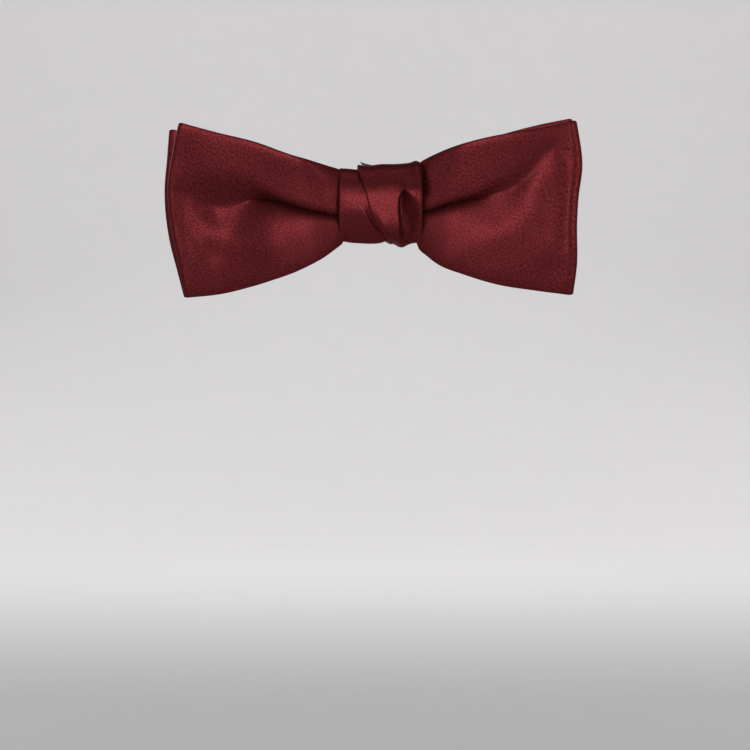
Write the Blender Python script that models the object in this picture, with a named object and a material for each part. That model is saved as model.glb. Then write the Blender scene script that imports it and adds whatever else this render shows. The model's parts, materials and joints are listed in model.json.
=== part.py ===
"""Clip-on bow tie: two folded satin bows, a wrapped knot and two swivelling spring clips.

Sizes in this file are millimetres, and add_mesh() writes them in metres.
The front of the bow faces -Y, +X runs to the viewer's right and +Z is up.
The origin is level with the middle of the knot, in the plane where a collar leaf rests
on the clips' base jaws.
"""
import math

import bmesh
import bpy
import numpy as np

MM = 0.001

# Ribbon: each bow is a satin tube pressed flat over a strip of interlining.
RIBBON_THICKNESS = 1.6
SATIN_WALL = 0.35
RIBBON_CAVITY = RIBBON_THICKNESS - 2 * SATIN_WALL
INTERLINING_THICKNESS = 0.3
INTERLINING_EDGE_GAP = 0.3
FOLD_RADIUS = 1.3
STRIP_END_X = 0.6

# Waist: the stretch of both bows that the knot holds gathered.
WAIST_TOP = 6.9
WAIST_BOTTOM = -7.7
WAIST_HALF_LENGTH = 10.6
WING_START = 12.6

# Depths (y) of the middle of each ply: at the waist, at the belly of the wing and at its end.
FRONT_BOW = {
    "front_ply": (-13.5, -16.2, -14.6),
    "back_ply": (-11.2, -11.6, -12.0),
    "pleat_depth": 1.1,
    "top_left": [(-53.4, 21.4), (-33.0, 15.5), (-12.6, 9.5)],
    "bottom_left": [(-51.7, -24.5), (-38.0, -22.5), (-24.6, -18.4), (-12.6, -11.7)],
    "top_right": [(12.6, 12.2), (25.4, 16.9), (38.0, 20.0), (51.4, 22.8)],
    "bottom_right": [(12.6, -13.4), (22.0, -18.3), (36.0, -21.9), (50.9, -23.9)],
    "end_left": [(-1.0, -51.7), (0.28, -56.0), (1.0, -53.4)],
    "end_right": [(-1.0, 50.9), (-0.1, 52.1), (0.6, 53.3), (1.0, 51.6)],
}
BACK_BOW = {
    "front_ply": (-8.9, -9.3, -9.6),
    "back_ply": (-6.6, -5.2, -7.0),
    "pleat_depth": 0.0,
    "top_left": [(-56.4, 20.6), (-33.0, 14.9), (-12.6, 9.2)],
    "bottom_left": [(-52.2, -24.4), (-38.0, -22.0), (-24.6, -17.9), (-12.6, -11.2)],
    "top_right": [(12.6, 12.0), (25.4, 17.3), (38.0, 21.0), (50.9, 23.6)],
    "bottom_right": [(12.6, -12.8), (22.0, -17.7), (36.0, -21.3), (50.2, -23.5)],
    "end_left": [(-1.0, -52.2), (0.28, -57.6), (1.0, -56.4)],
    "end_right": [(-1.0, 50.2), (-0.1, 51.5), (0.6, 52.4), (1.0, 51.0)],
}
BELLY_AT = 0.5          # share of the wing's length at which it stands furthest forward
PLEAT_START = 12.6
PLEAT_END = 34.0
PLEAT_HALF_WIDTH = 4.0

# Knot: bands wrapped round the waist, listed as distances out from the inner wrap's inside.
KNOT_Y = (-15.0, -3.9)
KNOT_Z = (-9.0, 8.2)
KNOT_CORNER = 1.3
INNER_WRAP = (0.0, 0.7)
KNOT_INTERLINING = (0.95, 1.25)
OUTER_WRAP = (1.5, 2.3)
INNER_WRAP_X = (-10.9, 10.4)
OUTER_WRAP_RIGHT = 11.0
OUTER_WRAP_TOP_LEFT = -6.0
OUTER_WRAP_SLANT = 7.3
KNOT_INTERLINING_INSET = 1.0

# Threads.
BINDING_RADIUS = 0.2
BINDING_CLEARANCE = 0.35
BINDING_TURNS = 3
BINDING_PITCH = 0.7
STITCH_RADIUS = 0.18
STITCH_COUNT = 7
STITCH_SEAM_X = 2.5
STITCH_HALF_WIDTH = 0.8
STITCH_Y = -1.35

# Clip bridge: a steel strip through the knot that carries a clip at each end.
SHEET = 0.8
BRIDGE_CENTRE_Y = -4.9
BRIDGE_END_Y = -2.3
BRIDGE_JOGGLE = (11.7, 13.7)
BRIDGE_HALF_LENGTH = 20.8
BRIDGE_HALF_HEIGHT = 3.5
RIVET_X = 17.0
RIVET_RADIUS = 1.0
RIVET_HEAD_RADIUS = 2.2
RIVET_HEAD = 0.8
RIVET_REAR_HEAD = 0.6
STACK_GAP = 0.1
WASHER_THICKNESS = 0.5
WASHER_RADIUS = 2.7

# Clip, in its own axes: x along the jaws from the rivet to the tip, y to the rear, z across.
LEFT_CLIP_TURN = math.radians(180.0 - 45.5)
RIGHT_CLIP_TURN = math.radians(37.0)
JAW_TIP = 20.0
BASE_TAIL = -7.0
BASE_HALF_WIDTH = 4.0
PIN_X = -4.0
PIN_Y = 2.4
PIN_RADIUS = 0.55
PIN_HOLE_RADIUS = 0.7
PIN_HEAD_RADIUS = 0.95
EAR_RADIUS = 1.5
EAR_Z = (3.25, 3.95)
LEVER_SHEET = 0.7
LEVER_HALF_WIDTH = 3.05
TOOTH_COUNT = 5
TOOTH_DEPTH = 0.45
SPRING_WIRE = 0.25
SPRING_RADIUS = 1.35
SPRING_TURNS = 3.5
SPRING_PITCH = 0.75

LOOKS = {}


def clear_scene():
    for obj in list(bpy.data.objects):
        bpy.data.objects.remove(obj, do_unlink=True)


def make_looks():
    """One Principled material for each finish."""
    finishes = {
        "burgundy_satin": ((0.150, 0.017, 0.021), 0.42, 0.0),
        "interlining": ((0.780, 0.750, 0.680), 0.90, 0.0),
        "burgundy_thread": ((0.110, 0.014, 0.018), 0.60, 0.0),
        "nickel_plate": ((0.560, 0.570, 0.580), 0.24, 1.0),
        "spring_steel": ((0.330, 0.335, 0.345), 0.32, 1.0),
    }
    for name, (colour, roughness, metallic) in finishes.items():
        look = bpy.data.materials.new(name)
        look.use_nodes = True
        look.diffuse_color = (*colour, 1.0)
        shader = look.node_tree.nodes["Principled BSDF"]
        shader.inputs["Base Color"].default_value = (*colour, 1.0)
        shader.inputs["Roughness"].default_value = roughness
        shader.inputs["Metallic"].default_value = metallic
        LOOKS[name] = look


def add_mesh(name, points, faces, look=None, parent=None, smooth_angle=35.0):
    """An object from points in millimetres; faces are turned to point outwards."""
    mesh = bpy.data.meshes.new(name)
    mesh.from_pydata([tuple(float(c) * MM for c in p) for p in points], [], faces)
    shape = bmesh.new()
    shape.from_mesh(mesh)
    bmesh.ops.recalc_face_normals(shape, faces=shape.faces)
    shape.to_mesh(mesh)
    shape.free()
    mesh.shade_smooth()
    mesh.set_sharp_from_angle(angle=math.radians(smooth_angle))
    obj = bpy.data.objects.new(name, mesh)
    bpy.context.scene.collection.objects.link(obj)
    if look:
        mesh.materials.append(LOOKS[look])
    if parent:
        obj.parent = parent
    return obj


def add_axis(name, place, turn=0.0, parent=None):
    """An empty on a joint's axis, in millimetres, turned about +Y."""
    empty = bpy.data.objects.new(name, None)
    empty.empty_display_size = 0.005
    empty.location = [c * MM for c in place]
    empty.rotation_euler = (0.0, turn, 0.0)
    empty.parent = parent
    bpy.context.scene.collection.objects.link(empty)
    return empty


def boolean(obj, tool, operation):
    """Cut obj by a hidden tool, or join the tool to it."""
    tool.hide_render = True
    tool.display_type = "WIRE"
    modifier = obj.modifiers.new(operation.lower(), "BOOLEAN")
    modifier.operation = operation
    modifier.solver = "EXACT"
    modifier.object = tool


def merge_shapes(*shapes):
    """Several (points, faces) shapes as one."""
    points, faces = [], []
    for more_points, more_faces in shapes:
        start = len(points)
        points += list(more_points)
        faces += [tuple(start + i for i in face) for face in more_faces]
    return points, faces


def smooth_curve(knots):
    """A function that follows a smooth curve through a few (at, value) knots."""
    at, value = np.array(knots, float).T
    slope = np.gradient(value, at)

    def read(x):
        x = min(max(x, at[0]), at[-1])
        i = min(int(np.searchsorted(at, x, side="right")) - 1, len(at) - 2)
        step = at[i + 1] - at[i]
        t = (x - at[i]) / step
        return (
            (2 * t**3 - 3 * t**2 + 1) * value[i]
            + (t**3 - 2 * t**2 + t) * step * slope[i]
            + (3 * t**2 - 2 * t**3) * value[i + 1]
            + (t**3 - t**2) * step * slope[i + 1]
        )

    return read


def ease(t):
    t = min(max(t, 0.0), 1.0)
    return t * t * (3.0 - 2.0 * t)


def loft(rings, capped=True):
    """Skin a list of closed rings that have the same number of points."""
    count = len(rings[0])
    points = [p for ring in rings for p in ring]
    faces = []
    for i in range(len(rings) - 1):
        for j in range(count):
            k = (j + 1) % count
            faces.append((i * count + j, i * count + k, (i + 1) * count + k, (i + 1) * count + j))
    if capped:
        for start in (0, (len(rings) - 1) * count):
            for j in range(count // 2 - 1):
                a, b = start + j, start + j + 1
                faces.append((a, b, start + count - 2 - j, start + count - 1 - j))
    return points, faces


# --- Ribbon bows -----------------------------------------------------------------------

WAIST_STATIONS = (5.5, WAIST_HALF_LENGTH, WING_START)
WING_SHARES = (0.14, 0.30, 0.48, 0.66, 0.84, 1.0)
FOLD_ANGLES = (45.0, 0.0, -45.0)
RIBBON_ROWS = 7


def edge_height(bow, edge, x):
    """Height of the ribbon's top or bottom edge: gathered at the waist, then flaring."""
    waist = WAIST_TOP if edge == "top" else WAIST_BOTTOM
    curve = smooth_curve(bow[edge + ("_left" if x < 0 else "_right")])
    start = math.copysign(WING_START, x)
    if abs(x) < WING_START:
        share = ease((abs(x) - WAIST_HALF_LENGTH) / (WING_START - WAIST_HALF_LENGTH))
        return waist + (curve(start) - waist) * share
    return curve(x)


def ribbon_point(bow, ply, side, x, row, inset):
    """Middle of a ply at x, with row from -1 at the bottom edge to +1 at the top edge."""
    bottom = edge_height(bow, "bottom", x) + inset
    top = edge_height(bow, "top", x) - inset
    z = bottom + (top - bottom) * (row + 1.0) / 2.0
    waist, belly, end = bow[ply]
    length = abs(wing_end(bow, side, row)) - FOLD_RADIUS
    share = min(max((abs(x) - WAIST_HALF_LENGTH) / (length - WAIST_HALF_LENGTH), 0.0), 1.0)
    if share < BELLY_AT:
        y = waist + (belly - waist) * ease(share / BELLY_AT)
    else:
        y = belly + (end - belly) * ease((share - BELLY_AT) / (1.0 - BELLY_AT))
    if ply == "front_ply" and PLEAT_START < abs(x) < PLEAT_END:
        along = (abs(x) - PLEAT_START) / (PLEAT_END - PLEAT_START)
        y += bow["pleat_depth"] * math.sin(math.pi * along) * math.exp(-(z / PLEAT_HALF_WIDTH) ** 2)
    return (x, y, z)


def wing_end(bow, side, row):
    return smooth_curve(bow["end_left" if side < 0 else "end_right"])(row)


def wing_path(bow, side, row, inset):
    """One wing of one row, from the middle of the back round the end fold to the front."""
    end = abs(wing_end(bow, side, row))
    straight = end - FOLD_RADIUS
    runs = [STRIP_END_X, *WAIST_STATIONS]
    runs += [WING_START + (straight - WING_START) * share for share in WING_SHARES]
    back = [ribbon_point(bow, "back_ply", side, side * x, row, inset) for x in runs]
    front = [ribbon_point(bow, "front_ply", side, side * x, row, inset) for x in reversed(runs[1:])]
    middle = (back[-1][1] + front[0][1]) / 2.0
    fold = []
    for angle in FOLD_ANGLES:
        turn = math.radians(angle)
        x = side * (straight + FOLD_RADIUS * math.cos(turn))
        fold.append((x, middle + FOLD_RADIUS * math.sin(turn), back[-1][2]))
    return back + fold + front


def ribbon_grid(bow, inset):
    """Middle surface of the whole strip: left wing, the waist's front, right wing."""
    columns = []
    for row in np.linspace(-1.0, 1.0, RIBBON_ROWS):
        left = wing_path(bow, -1, row, inset)
        right = wing_path(bow, 1, row, inset)
        centre = ribbon_point(bow, "front_ply", 1, 0.0, row, inset)
        columns.append(left + [centre] + right[::-1])
    return np.array(columns).transpose(1, 0, 2)


def ribbon_rings(grid, half_thickness):
    """Closed rings round the strip, one for each station along it."""
    along = np.gradient(grid, axis=0)
    across = np.gradient(grid, axis=1)
    normal = np.cross(along, across)
    normal /= np.linalg.norm(normal, axis=2, keepdims=True)
    outer = grid + half_thickness * normal
    inner = grid - half_thickness * normal
    return [list(a) + list(b[::-1]) for a, b in zip(outer, inner)]


def make_bow(prefix, bow):
    """A satin tube whose two open ends meet at the middle of the back, and its interlining."""
    outside = ribbon_rings(ribbon_grid(bow, 0.0), RIBBON_THICKNESS / 2)
    cavity = ribbon_rings(ribbon_grid(bow, SATIN_WALL), RIBBON_CAVITY / 2)
    skin, skin_faces = loft(outside, capped=False)
    hollow, hollow_faces = loft(cavity, capped=False)
    points, faces = merge_shapes((skin, skin_faces), (hollow, hollow_faces))
    count = len(outside[0])
    for station in (0, len(outside) - 1):
        out, inn = station * count, len(skin) + station * count
        for j in range(count):
            k = (j + 1) % count
            faces.append((out + j, out + k, inn + k, inn + j))
    add_mesh(prefix + "_shell", points, faces, "burgundy_satin", smooth_angle=60.0)
    lining = ribbon_grid(bow, SATIN_WALL + INTERLINING_EDGE_GAP)
    rings = ribbon_rings(lining, INTERLINING_THICKNESS / 2)
    add_mesh(prefix + "_interlining", *loft(rings), "interlining", smooth_angle=60.0)


# --- Knot ------------------------------------------------------------------------------

CORNER_STEPS = 4


def rounded_ring(y_range, z_range, corner, out):
    """Points (y, z) of a rounded rectangle grown outwards by a distance."""
    points = []
    radius = corner + out
    corners = ((1, 1, 0), (0, 1, 90), (0, 0, 180), (1, 0, 270))
    for y_index, z_index, start in corners:
        y = y_range[y_index] + (corner if y_index == 0 else -corner)
        z = z_range[z_index] + (corner if z_index == 0 else -corner)
        for step in range(CORNER_STEPS + 1):
            angle = math.radians(start + 90.0 * step / CORNER_STEPS)
            points.append((y + radius * math.cos(angle), z + radius * math.sin(angle)))
        if y_index == z_index == 0 or y_index == z_index == 1:
            continue
        middle_z = (z_range[0] + z_range[1]) / 2
        edge_y = y_range[0] - out if start == 90 else y_range[1] + out
        points += [(edge_y, z_share) for z_share in mid_heights(z_range, middle_z, start)]
    return points


def mid_heights(z_range, middle, start):
    """Extra heights down the front of a band, or up its back."""
    down = [middle + 4.0, middle, middle - 4.0]
    return down if start == 90 else down[::-1]


def outer_wrap_left(y, z):
    """Left edge of the outer wrap: slanting down the front, straight down the back."""
    height = KNOT_Z[1] - KNOT_Z[0] + 2 * OUTER_WRAP[1]
    down = (KNOT_Z[1] + OUTER_WRAP[1] - z) / height
    forward = (KNOT_Y[1] - y) / (KNOT_Y[1] - KNOT_Y[0])
    return OUTER_WRAP_TOP_LEFT + OUTER_WRAP_SLANT * down * min(max(forward, 0.0), 1.0)


def make_band(name, layer, left, right, look):
    """A band round the waist, from its left edge to its right edge."""
    inside = rounded_ring(KNOT_Y, KNOT_Z, KNOT_CORNER, layer[0])
    outside = rounded_ring(KNOT_Y, KNOT_Z, KNOT_CORNER, layer[1])
    points, faces = [], []
    for (y_in, z_in), (y_out, z_out) in zip(inside, outside):
        x_left, x_right = left(y_out, z_out), right(y_out, z_out)
        points += [(x_left, y_in, z_in), (x_left, y_out, z_out)]
        points += [(x_right, y_out, z_out), (x_right, y_in, z_in)]
    count = len(inside)
    for i in range(count):
        a, b = 4 * i, 4 * ((i + 1) % count)
        for j in range(4):
            k = (j + 1) % 4
            faces.append((a + j, a + k, b + k, b + j))
    add_mesh(name, points, faces, look)


def make_knot():
    make_band(
        "knot_inner_wrap", INNER_WRAP, lambda y, z: INNER_WRAP_X[0], lambda y, z: INNER_WRAP_X[1],
        "burgundy_satin",
    )
    make_band(
        "knot_interlining", KNOT_INTERLINING,
        lambda y, z: outer_wrap_left(y, z) + KNOT_INTERLINING_INSET,
        lambda y, z: OUTER_WRAP_RIGHT - KNOT_INTERLINING_INSET, "interlining",
    )
    make_band(
        "knot_outer_wrap", OUTER_WRAP, outer_wrap_left, lambda y, z: OUTER_WRAP_RIGHT,
        "burgundy_satin",
    )


# --- Threads ---------------------------------------------------------------------------


def tube(path, radius, sides=6):
    """A round tube along a path, with closed ends."""
    path = np.array(path, float)
    tangent = np.gradient(path, axis=0)
    tangent /= np.linalg.norm(tangent, axis=1, keepdims=True)
    guide = np.array([1.0, 0.0, 0.0]) if abs(tangent[0][0]) < 0.7 else np.array([0.0, 0.0, 1.0])
    rings = []
    for place, ahead in zip(path, tangent):
        guide = guide - ahead * float(guide @ ahead)
        guide /= np.linalg.norm(guide)
        side = np.cross(ahead, guide)
        turns = [2 * math.pi * k / sides for k in range(sides)]
        rings.append([place + radius * (math.cos(t) * guide + math.sin(t) * side) for t in turns])
    points, faces = loft(rings, capped=False)
    faces.append(tuple(range(sides)))
    faces.append(tuple(range(len(points) - sides, len(points))))
    return points, faces


def make_binding_thread():
    """Turns of thread that hold both bows gathered at the waist."""
    front = FRONT_BOW["front_ply"][0] - RIBBON_THICKNESS / 2
    back = BACK_BOW["back_ply"][0] + RIBBON_THICKNESS / 2
    ring = rounded_ring((front, back), (WAIST_BOTTOM, WAIST_TOP), 0.0, BINDING_CLEARANCE)
    total = BINDING_TURNS * len(ring)
    path = []
    for i in range(total - 2):
        y, z = ring[i % len(ring)]
        path.append((BINDING_PITCH * (i / len(ring) - BINDING_TURNS / 2), y, z))
    add_mesh("centre_binding_thread", *tube(path, BINDING_RADIUS, 5), "burgundy_thread")


def make_closing_stitches():
    """One thread that whips the outer wrap shut at the back of the knot, side to side."""
    heights = np.linspace(KNOT_Z[0] + 1.5, KNOT_Z[1] - 1.5, 2 * STITCH_COUNT)
    path = [
        (STITCH_SEAM_X + (STITCH_HALF_WIDTH if i % 2 else -STITCH_HALF_WIDTH), STITCH_Y, z)
        for i, z in enumerate(heights)
    ]
    add_mesh("knot_closing_stitches", *tube(path, STITCH_RADIUS), "burgundy_thread")


# --- Clip hardware ---------------------------------------------------------------------


def prism(outline, low, high, axis):
    """A plane outline pushed along an axis; the outline's two numbers are the other axes."""
    def place(a, b, c):
        return {"x": (c, a, b), "y": (a, c, b), "z": (a, b, c)}[axis]

    count = len(outline)
    points = [place(a, b, low) for a, b in outline] + [place(a, b, high) for a, b in outline]
    faces = [tuple(range(count)), tuple(range(count, 2 * count))]
    for i in range(count):
        j = (i + 1) % count
        faces.append((i, j, count + j, count + i))
    return points, faces


def arc(centre, radius, start, end, steps):
    """Points of an arc, angles in degrees."""
    angles = [math.radians(start + (end - start) * i / steps) for i in range(steps + 1)]
    return [(centre[0] + radius * math.cos(a), centre[1] + radius * math.sin(a)) for a in angles]


def disc(centre, radius, steps=20):
    return arc(centre, radius, 0.0, 360.0, steps)[:-1]


def turned(profile, axis="y", centre=(0.0, 0.0), steps=20):
    """A solid turned about an axis; the profile is (along, radius), and ends on the axis."""
    rings = []
    for along, radius in profile:
        ring = []
        for a, b in disc(centre, radius, steps):
            ring.append((a, along, b) if axis == "y" else (a, b, along))
        rings.append(ring)
    points, faces = loft(rings, capped=False)
    faces.append(tuple(range(steps)))
    faces.append(tuple(range(len(points) - steps, len(points))))
    return points, faces


def make_bridge():
    """A strip that steps back on both sides of the knot, with a rivet hole near each end."""
    inner, outer = BRIDGE_JOGGLE
    right = [(inner, BRIDGE_CENTRE_Y), (outer, BRIDGE_END_Y), (BRIDGE_HALF_LENGTH, BRIDGE_END_Y)]
    front = [(-x, y) for x, y in right[::-1]] + right
    back = [(x, y + SHEET) for x, y in front[::-1]]
    half = BRIDGE_HALF_HEIGHT
    bridge = add_mesh("clip_bridge", *prism(front + back, -half, half, "z"), "nickel_plate")
    holes = [
        prism(disc((side * RIVET_X, 0.0), RIVET_RADIUS + 0.1), BRIDGE_END_Y - 1, BRIDGE_END_Y + 2, "y")
        for side in (-1, 1)
    ]
    boolean(bridge, add_mesh("bridge_hole_cutter", *merge_shapes(*holes)), "DIFFERENCE")


def make_rivet_and_washer(side, swivel):
    """A shouldered rivet through bridge, washer and base jaw, with domed heads."""
    front = BRIDGE_END_Y - STACK_GAP
    rear = STACK_GAP
    profile = [
        (front - RIVET_HEAD, RIVET_HEAD_RADIUS * 0.5),
        (front - RIVET_HEAD * 0.75, RIVET_HEAD_RADIUS * 0.85),
        (front - RIVET_HEAD * 0.3, RIVET_HEAD_RADIUS),
        (front, RIVET_HEAD_RADIUS),
        (front, RIVET_RADIUS),
        (rear, RIVET_RADIUS),
        (rear, RIVET_HEAD_RADIUS),
        (rear + RIVET_REAR_HEAD * 0.5, RIVET_HEAD_RADIUS * 0.9),
        (rear + RIVET_REAR_HEAD, RIVET_HEAD_RADIUS * 0.5),
    ]
    add_mesh(side + "_swivel_rivet", *turned(profile), "nickel_plate", swivel)
    start = BRIDGE_END_Y + SHEET + STACK_GAP
    hole = RIVET_RADIUS + STACK_GAP
    outer = [[(a, y, b) for a, b in disc((0, 0), WASHER_RADIUS)] for y in (start, start + WASHER_THICKNESS)]
    inner = [[(a, y, b) for a, b in disc((0, 0), hole)] for y in (start + WASHER_THICKNESS, start)]
    washer = loft([*outer, *inner, outer[0]], capped=False)
    add_mesh(side + "_friction_washer", *weld(washer), "nickel_plate", swivel)


def weld(shape):
    """Join points that lie on each other, such as the first and last ring of a closed loft."""
    points, faces = shape
    first, order, kept = {}, [], []
    for point in points:
        key = tuple(round(float(c), 6) for c in point)
        if key not in first:
            first[key] = len(kept)
            kept.append(point)
        order.append(first[key])
    return kept, [tuple(order[i] for i in face) for face in faces]


def make_jaw_base(side, swivel):
    """The flat jaw on the rivet, with two ears that hold the hinge pin."""
    half = BASE_HALF_WIDTH
    outline = [(BASE_TAIL, -half + 1.5), (BASE_TAIL + 1.5, -half)]
    outline += arc((JAW_TIP - half, 0.0), half, -90.0, 90.0, 12)
    outline += [(BASE_TAIL + 1.5, half), (BASE_TAIL, half - 1.5)]
    base = add_mesh(
        side + "_jaw_base", *prism(outline, -SHEET, 0.0, "y"), "nickel_plate", swivel
    )
    ear = [(PIN_X - EAR_RADIUS - 0.6, -0.4)] + [(PIN_X + EAR_RADIUS + 0.6, -0.4)]
    ear += arc((PIN_X, PIN_Y), EAR_RADIUS, 0.0, 180.0, 8)
    ears = [prism(ear, *EAR_Z, "z"), prism(ear, -EAR_Z[1], -EAR_Z[0], "z")]
    boolean(base, add_mesh(side + "_ears", *merge_shapes(*ears), parent=swivel), "UNION")
    rivet_hole = prism(disc((0.0, 0.0), RIVET_RADIUS + 0.15), -2.0, 0.5, "y")
    pin_hole = prism(disc((PIN_X, PIN_Y), PIN_HOLE_RADIUS, 16), -half - 1, half + 1, "z")
    cutter = add_mesh(side + "_base_holes", *merge_shapes(rivet_hole, pin_hole), parent=swivel)
    boolean(base, cutter, "DIFFERENCE")


# Lever stations: distance along the jaws, rear face, upper and lower edge, depth of the side
# flanges. The thumb tab narrows to a neck and ends in a beak that points up.
LEVER_STATIONS = [
    (-19.3, 7.5, -1.6, 2.5, 0.20),
    (-18.8, 7.3, -0.9, 2.7, 0.20),
    (-18.2, 7.0, 0.0, 2.8, 0.20),
    (-17.6, 6.7, 1.3, 2.7, 0.20),
    (-17.3, 6.6, 0.5, 2.6, 0.20),
    (-16.9, 6.4, -0.4, 2.5, 0.20),
    (-15.4, 6.0, -0.2, 2.4, 0.25),
    (-14.0, 5.8, 1.4, 2.4, 0.25),
    (-12.0, 5.6, 2.5, 2.5, 0.30),
    (-8.0, 5.2, 3.05, 3.05, 0.50),
    (-6.0, 5.0, 3.05, 3.05, 2.6),
    (-5.2, 5.0, 3.05, 3.05, 3.1),
    (-2.8, 5.0, 3.05, 3.05, 3.1),
    (-1.6, 5.0, 3.05, 3.05, 2.4),
    (1.0, 4.6, 3.05, 3.05, 0.6),
    (18.6, 1.75, 3.05, 3.05, 0.6),
    (19.3, 1.45, 2.95, 2.95, 0.5),
]


def make_jaw_lever(side, hinge):
    """A folded steel channel: toothed jaw at one end, thumb tab at the other."""
    rings = []
    for x, rear, upper, lower, flange in LEVER_STATIONS:
        x, rear = x - PIN_X, rear - PIN_Y
        under = rear - LEVER_SHEET
        low = under - flange
        # Local +Z is the lower side on the left clip and the upper side on the right one.
        near, far = (-upper, lower) if side == "left" else (-lower, upper)
        wall = min(LEVER_SHEET, 0.35 * (far - near))
        section = [(rear, far), (low, far), (low, far - wall), (under, far - wall)]
        section += [(under, near + wall), (low, near + wall), (low, near), (rear, near)]
        rings.append([(x, y, z) for y, z in section])
    body, body_faces = loft(rings, capped=False)
    count = len(rings[0])
    for start in (0, len(body) - count):
        body_faces.append(tuple(start + i for i in range(count)))
    lever = add_mesh(side + "_jaw_lever", body, body_faces, "nickel_plate", hinge)
    tip_x, tip_rear = LEVER_STATIONS[-1][0] - PIN_X, LEVER_STATIONS[-1][1] - PIN_Y
    floor = 0.3 - PIN_Y
    lip = [(tip_x - 0.35, floor), (tip_x + 0.45, floor), (tip_x + 0.45, tip_rear - 0.15)]
    lip += [(tip_x - 0.35, tip_rear - 0.05)]
    half = LEVER_HALF_WIDTH - 0.2
    tip = add_mesh(side + "_lever_lip", *prism(lip, -half, half, "z"), parent=hinge)
    boolean(lever, tip, "UNION")
    notches = []
    width = 2 * half / TOOTH_COUNT
    for i in range(1, TOOTH_COUNT):
        z = -half + width * i
        notch = [(floor - 0.2, z - width / 2), (floor + TOOTH_DEPTH, z), (floor - 0.2, z + width / 2)]
        notches.append(prism(notch, tip_x - 1.0, tip_x + 1.0, "x"))
    boolean(lever, add_mesh(side + "_notches", *merge_shapes(*notches), parent=hinge), "DIFFERENCE")
    hole = prism(disc((0.0, 0.0), PIN_HOLE_RADIUS, 16), -5.0, 5.0, "z")
    boolean(lever, add_mesh(side + "_lever_hole", *hole, parent=hinge), "DIFFERENCE")


def make_hinge_pin(side, hinge):
    """A pin peened over both ears."""
    end = EAR_Z[1] + STACK_GAP
    head = 0.45
    half = [(end, PIN_RADIUS), (end, PIN_HEAD_RADIUS), (end + head, PIN_HEAD_RADIUS * 0.6)]
    profile = [(-z, r) for z, r in half[::-1]] + half
    add_mesh(side + "_hinge_pin", *turned(profile, axis="z", steps=16), "nickel_plate", hinge)


def make_jaw_spring(side, hinge):
    """A torsion spring round the pin, with one leg on the base and one under the thumb tab."""
    steps = 14
    length = SPRING_TURNS * SPRING_PITCH
    coil = []
    for i in range(int(SPRING_TURNS * steps) + 1):
        turn = 2 * math.pi * i / steps
        x = -SPRING_RADIUS * math.sin(turn)
        y = -SPRING_RADIUS * math.cos(turn)
        coil.append((x, y, -length / 2 + SPRING_PITCH * i / steps))
    low_leg = [(3.1, -1.75, -length / 2), (0.9, -1.45, -length / 2)]
    high_leg = [(-1.0, 1.42, length / 2), (-4.4, 1.72, length / 2)]
    low_leg = [(-x, y, z) for x, y, z in low_leg]
    coil = [(-x, y, z) for x, y, z in coil]
    add_mesh(side + "_jaw_spring", *tube(low_leg + coil + high_leg, SPRING_WIRE), "spring_steel", hinge)


def make_clip(side, x, turn):
    swivel = add_axis(side + "_swivel_axis", (x, 0.0, 0.0), turn)
    hinge = add_axis(side + "_jaw_axis", (PIN_X, PIN_Y, 0.0), parent=swivel)
    make_rivet_and_washer(side, swivel)
    make_jaw_base(side, swivel)
    make_jaw_lever(side, hinge)
    make_hinge_pin(side, hinge)
    make_jaw_spring(side, hinge)


clear_scene()
make_looks()
make_bow("front_bow", FRONT_BOW)
make_bow("back_bow", BACK_BOW)
make_knot()
make_binding_thread()
make_closing_stitches()
make_bridge()
make_clip("left", -RIVET_X, LEFT_CLIP_TURN)
make_clip("right", RIVET_X, RIGHT_CLIP_TURN)
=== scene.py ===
"""The looks of the clip-on bow tie: folded satin bows, the wrapped knot, threads and steel clips.

Shapes are worked out in millimetres and written in metres. The bow's front faces -Y.
A wing is described by its side, -1 for the left one and 1 for the right one, and by its
distance out from the middle, so that both wings share their functions.
"""

import json
import math

import bpy
import numpy as np
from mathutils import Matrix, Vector


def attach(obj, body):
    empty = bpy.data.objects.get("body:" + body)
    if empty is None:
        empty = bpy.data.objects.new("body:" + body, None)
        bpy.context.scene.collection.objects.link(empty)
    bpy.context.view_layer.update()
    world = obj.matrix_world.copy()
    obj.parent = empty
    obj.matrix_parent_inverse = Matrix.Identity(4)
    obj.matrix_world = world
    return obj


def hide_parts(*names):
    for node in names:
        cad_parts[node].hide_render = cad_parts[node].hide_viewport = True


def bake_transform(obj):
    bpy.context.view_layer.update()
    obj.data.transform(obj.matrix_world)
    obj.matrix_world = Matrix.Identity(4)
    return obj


MM = 0.001
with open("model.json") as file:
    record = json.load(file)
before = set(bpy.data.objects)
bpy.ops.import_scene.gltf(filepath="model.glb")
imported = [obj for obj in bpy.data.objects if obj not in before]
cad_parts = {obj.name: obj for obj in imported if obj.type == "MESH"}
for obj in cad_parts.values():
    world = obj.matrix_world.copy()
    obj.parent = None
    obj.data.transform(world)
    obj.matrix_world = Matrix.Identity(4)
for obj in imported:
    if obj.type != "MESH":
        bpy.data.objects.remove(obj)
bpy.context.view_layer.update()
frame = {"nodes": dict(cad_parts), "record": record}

# --- Sizes, in millimetres ---------------------------------------------------------------

RIBBON = 1.3            # a pressed satin tube with its interlining
SATIN = 0.22            # one layer of satin
EDGE_ROUND = 0.35       # how far in from a tube's edge its faces round over
STRIP_END = 0.6         # distance of a strip's end from the middle of the back
LOOP_END = 0.5          # how far a loop's round end reaches past its plies
LINING_GAP = 0.3        # room that a lining leaves inside its satin tube
KNOT_HALF = 11.0        # half of the knot's width
WAIST = {"top": 5.6, "bottom": -6.2}    # heights of a strip's edges inside the knot

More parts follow.
